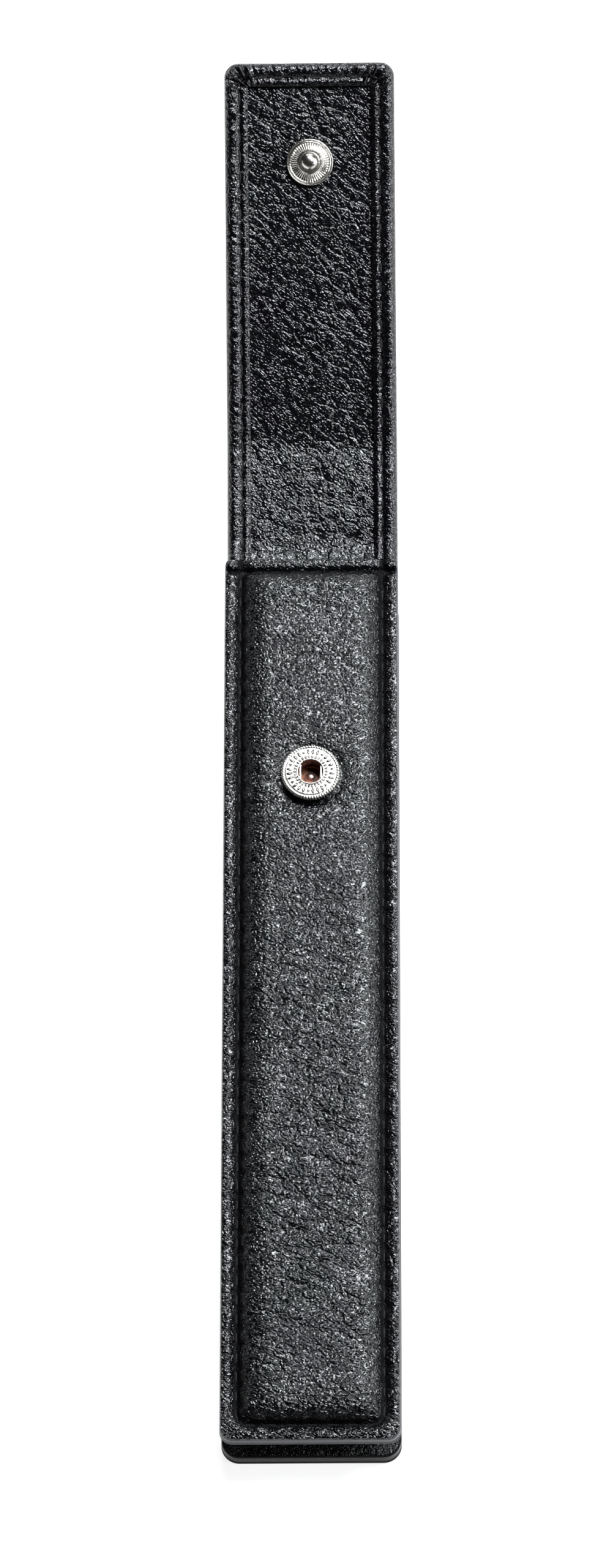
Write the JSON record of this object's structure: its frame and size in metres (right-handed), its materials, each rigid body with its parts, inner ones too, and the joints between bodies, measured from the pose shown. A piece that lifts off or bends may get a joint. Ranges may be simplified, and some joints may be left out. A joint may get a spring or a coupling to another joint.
{
  "type": "leather pen case",
  "caption": "Slim black leather pen case: padded pocket with a folded gusset, and a flap that folds over the mouth and closes with a spring snap.",
  "frame": {"origin": "middle of the back's outer face, halfway along the pocket", "axes": "+Y along the case from the pocket towards the flap, +Z out of the padded front, +X to the right as the front is seen with the flap at the top"},
  "size_m": [0.03, 0.2478, 0.0365],
  "materials": {
    "nappa": "black grained nappa, satin",
    "gusset": "thin black leather, matt",
    "lining": "fine grained black lining leather",
    "board": "fibre board",
    "foam": "soft felted padding",
    "thread": "black twisted thread",
    "nickel": "nickel plate, bright",
    "spring_steel": "bright wire",
    "rivet_brass": "worn plate over brass"
  },
  "bodies": {
    "pocket": {"back_leather": "nappa", "back_board": "board", "back_lining": "lining", "gusset": "gusset", "front_leather": "nappa", "front_padding": "foam", "front_lining": "lining", "front_seam_thread": "thread", "mouth_seam_thread": "thread", "back_seam_thread": "thread", "back_hem_thread_left": "thread", "back_hem_thread_right": "thread", "snap_socket": "nickel", "snap_socket_spring": "spring_steel", "snap_socket_rivet": "rivet_brass"},
    "spine": {"spine_leather": "nappa", "spine_lining": "lining", "spine_thread_left": "thread", "spine_thread_right": "thread"},
    "flap": {"flap_leather": "nappa", "flap_board": "board", "flap_lining": "lining", "flap_seam_thread": "thread", "snap_stud": "nickel", "snap_cap": "nickel"}
  },
  "joints": [
    {"name": "spine_fold", "type": "hinge", "parent": "pocket", "child": "spine", "pos_m": [0, 0.0886, 0.00118], "axis": [1, 0, 0], "range_deg": [-14.7, 75.3]},
    {"name": "flap_fold", "type": "hinge", "parent": "spine", "child": "flap", "pos_m": [0, 0.10596, 0.00573], "axis": [1, 0, 0], "range_deg": [-9.5, 79]}
  ]
}
